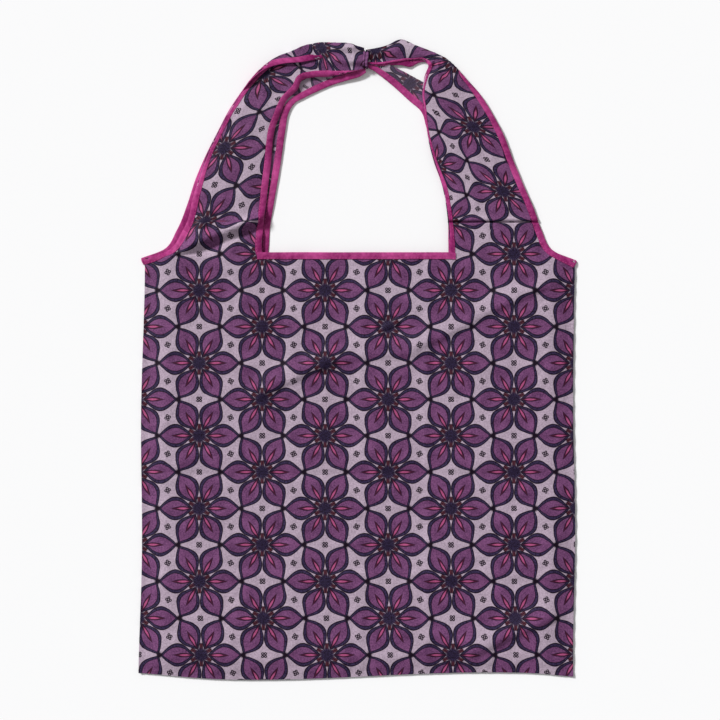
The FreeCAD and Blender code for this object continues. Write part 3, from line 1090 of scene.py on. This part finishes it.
def make_mouth_tapes():
    """The tape along each side of the mouth, a little above the cloth, between the straps."""
    for layer in ("front", "back"):
        left, right = STRAPS[f"{layer}_left"][0][0], STRAPS[f"{layer}_right"][0][0]
        x, y = np.meshgrid(
            np.linspace(left - TAPE, right + TAPE, 76), MOUTH - np.linspace(0.0, 7.5, 6), indexing="ij"
        )
        patch = body_point(layer, x, y) + np.array([0.0, 0.0, 0.45])
        piece = tape(f"{layer}_mouth_tape", patch, f"{layer}_mouth_binding")
        move_with_mouth(piece, layer)


def make_seams():
    """The seam allowances that close the bag's sides and bottom, between the two panels."""
    spans = (
        ("bottom", BOTTOM + SEAM_CLEAR, LOWER_CUT),
        ("lower", LOWER_CUT, MIDDLE_CUT),
        ("upper", MIDDLE_CUT, MOUTH),
    )
    for side, sign in SIDES.items():
        for name, low, high in spans:
            y = np.linspace(low, high, round((high - low) / 3.0))
            x = np.full_like(y, sign * HALF)
            inward = (-sign, 0.0, 0.0)
            piece = seam(f"side_seam_allowance_{side}_{name}", x, y, inward, f"side_seam_{side}_{name}")
            if name == "upper":
                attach(piece, "bag")
            else:
                fold_with_body(piece, name)
    x = np.linspace(-HALF + SEAM_CLEAR, HALF - SEAM_CLEAR, 140)
    piece = seam("bottom_seam_allowance", x, np.full_like(x, BOTTOM), (0.0, 1.0, 0.0), "bottom_seam")
    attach(piece, "bottom_fold")


def seam(name, x, y, inward, node):
    """A seam allowance that starts at places x, y on the edge, midway between the two panels."""
    edge = (body_point("front", x, y) + body_point("back", x, y)) / 2
    patch = np.stack([edge + np.array(inward) * step for step in SEAM_COLUMNS], axis=1)
    piece = swept_piece(name, patch, SEAM_SECTION, (REVERSE,), stitched=False)
    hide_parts(node)
    return piece


def make_tape_turns():
    """The short turn of each outer tape over the top of its side seam, from front to back."""
    first_rows = 12  # enough of a strap to find the way its edge runs at its first row
    for side, sign in SIDES.items():
        front = square_patch(STRAP_GRIDS[f"front_{side}"][0][:first_rows], "front")[0]
        back = square_patch(STRAP_GRIDS[f"back_{side}"][0][:first_rows], "back")[0]
        share = np.linspace(0.0, 1.0, 9)[:, None, None]
        patch = mix(front, back, share)
        patch[..., 0] += sign * 0.9 * np.sin(math.pi * share[..., 0])
        section = [(inset, height * 1.5) for inset, height in TAPE_SECTION]
        piece = swept_piece(f"tape_turn_{side}", patch, section, (BINDING,), stitched=False)
        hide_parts(f"binding_turn_{side}")
        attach(piece, "bag")


def make_crown():
    """The gathered crown: a narrow pleated band round the four strap ends, drawn in at its waist."""
    centre_x, centre_z = 6.3, 5.0
    centre_y = (CROWN_LOW[1] + CROWN_HIGH[1]) / 2 - 6.0
    reach_y, reach_z = 8.9, 4.2
    half = 2.6
    around = np.linspace(0.0, 2 * math.pi, 97)[:-1]
    rings = []
    for x in np.linspace(-half, half, 21):
        waist = 1.0 - 0.16 * bell(x, 0.9) - 0.14 * (x / half) ** 4
        pleat = 1.0 + 0.05 * np.sin(13 * around + 0.4 * x) + 0.03 * np.sin(29 * around + 1.0)
        ring_y = centre_y + reach_y * waist * pleat * np.cos(around)
        ring_z = centre_z + reach_z * waist * pleat * np.sin(around)
        ring_x = np.full_like(around, centre_x) + x + 0.5 * np.sin(2 * around)
        rings.append(np.stack([ring_x, ring_y, np.maximum(ring_z, 0.15)], axis=1))
    points = np.array(rings).reshape(-1, 3)
    faces = tube_faces(len(rings), len(around))

    # The band is gathered so tightly that only a short stretch of the print shows along it
    print_x, print_y, shown = -16.9, 69.8, 0.35
    prints = [(x + print_x, print_y + shown * (y - centre_y)) for x, y, z in points]
    piece = build("gathered_crown", [tuple(point * MM) for point in points], faces, [PRINT], prints)
    recalculate(piece)
    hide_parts("crown_seam")
    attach(piece, "handle")


def make_pocket():
    """The stow pocket on the inside of the back panel, with the tape along its top."""
    low, high = (np.array(corner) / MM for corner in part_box("stow_pocket"))
    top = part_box("stow_pocket_binding")[1][1] / MM
    x, y = np.meshgrid(np.linspace(low[0], high[0], 44), np.linspace(low[1], top, 40))
    border = smooth(np.minimum(np.minimum(x - low[0], high[0] - x), y - low[1]) / 10.0)
    z = back_height(x, y) + 0.5 + border * (0.9 + 0.25 * ripples(x, y, 16.0, 21.0))
    grid = np.stack([x, y, z], axis=-1)
    piece = cloth_piece("stow_pocket_cloth", [(grid, np.stack([x, y], axis=-1))], "front")
    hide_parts("stow_pocket", "stow_pocket_hem")
    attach(piece, "bag")
    top_rows = np.transpose(grid[:-6:-1], (1, 0, 2))
    edge_tape = tape("stow_pocket_tape", top_rows, "stow_pocket_binding")
    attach(edge_tape, "bag")


# The press stud's parts, as profiles of radius and height
STUD_TURNS = 40
STUD_PROFILES = {
    "press_stud_ball": [
        (0.0, 0.0), (1.7, 0.0), (1.7, 0.25), (1.2, 0.45), (1.9, 0.85), (1.3, 1.15), (0.0, 1.2),
    ],
    "press_stud_socket": [
        (2.1, 0.0), (4.3, 0.0), (4.5, 0.3), (4.2, 0.9), (3.4, 1.0), (3.0, 0.7), (2.1, 0.7),
    ],
    "press_stud_cap": [
        (0.0, 0.0), (5.3, 0.0), (5.5, 0.2), (5.2, 0.6), (3.6, 0.9), (2.6, 0.75), (0.0, 0.65),
    ],
}


def make_press_stud():
    """Turned parts of the press stud, each from a profile of radius and height."""
    for node, profile in STUD_PROFILES.items():
        low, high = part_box(node)
        centre = np.array([(low[0] + high[0]) / 2, (low[1] + high[1]) / 2, low[2]])
        points, faces = [], []
        for turn in range(STUD_TURNS):
            angle = 2 * math.pi * turn / STUD_TURNS
            for radius, height in profile:
                radius = max(radius, 0.02)
                place = np.array([radius * math.cos(angle), radius * math.sin(angle), height])
                points.append(tuple(centre + place * MM))
        count = len(profile)
        for turn in range(STUD_TURNS):
            this, following = turn * count, (turn + 1) % STUD_TURNS * count
            for place in range(count):
                other = (place + 1) % count
                faces.append((this + place, following + place, following + other, this + other))
        piece = build(node + "_turned", points, faces, [SNAP])
        recalculate(piece)
        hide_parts(node)
        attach(piece, "bag")


# ---- floor, light and camera

def make_stage():
    """A pale floor under the bag."""
    material, tree, shader = new_material("pale_floor", roughness=0.9, specular=0.1)
    shader.inputs["Base Color"].default_value = (0.93, 0.93, 0.935, 1.0)
    reach = 3.0
    corners = [(-reach, -reach, 0.0), (reach, -reach, 0.0), (reach, reach, 0.0), (-reach, reach, 0.0)]
    build("floor", corners, [(0, 1, 2, 3)], [material])


def make_lights():
    """White surroundings, and one soft key light from the upper left."""
    world = bpy.data.worlds.new("studio")
    bpy.context.scene.world = world
    world.use_nodes = True
    background = world.node_tree.nodes["Background"]
    background.inputs["Color"].default_value = (1.0, 1.0, 1.0, 1.0)
    background.inputs["Strength"].default_value = 0.37
    light = bpy.data.lights.new("key", "SUN")
    light.angle = math.radians(12.0)
    light.energy = 3.66
    lamp = bpy.data.objects.new("key", light)
    bpy.context.collection.objects.link(lamp)
    lamp.rotation_mode = "QUATERNION"
    lamp.rotation_quaternion = Vector((-0.72, 0.62, 0.66)).to_track_quat("Z", "Y")
    bpy.context.scene.view_settings.view_transform = "Standard"


def make_camera():
    """Straight above the bag, at the height from which the lens takes in the view's width."""
    view_width = 0.6955
    camera = bpy.data.cameras.new("camera")
    camera.lens = 85.0
    camera.sensor_width = 36.0
    eye = bpy.data.objects.new("camera", camera)
    bpy.context.collection.objects.link(eye)
    eye.location = (0.001, -0.0013, view_width * camera.lens / camera.sensor_width)
    bpy.context.scene.camera = eye


make_body_cloth()
make_straps()
make_mouth_tapes()
make_seams()
make_tape_turns()
make_crown()
make_pocket()
make_press_stud()
make_stage()
make_lights()
make_camera()
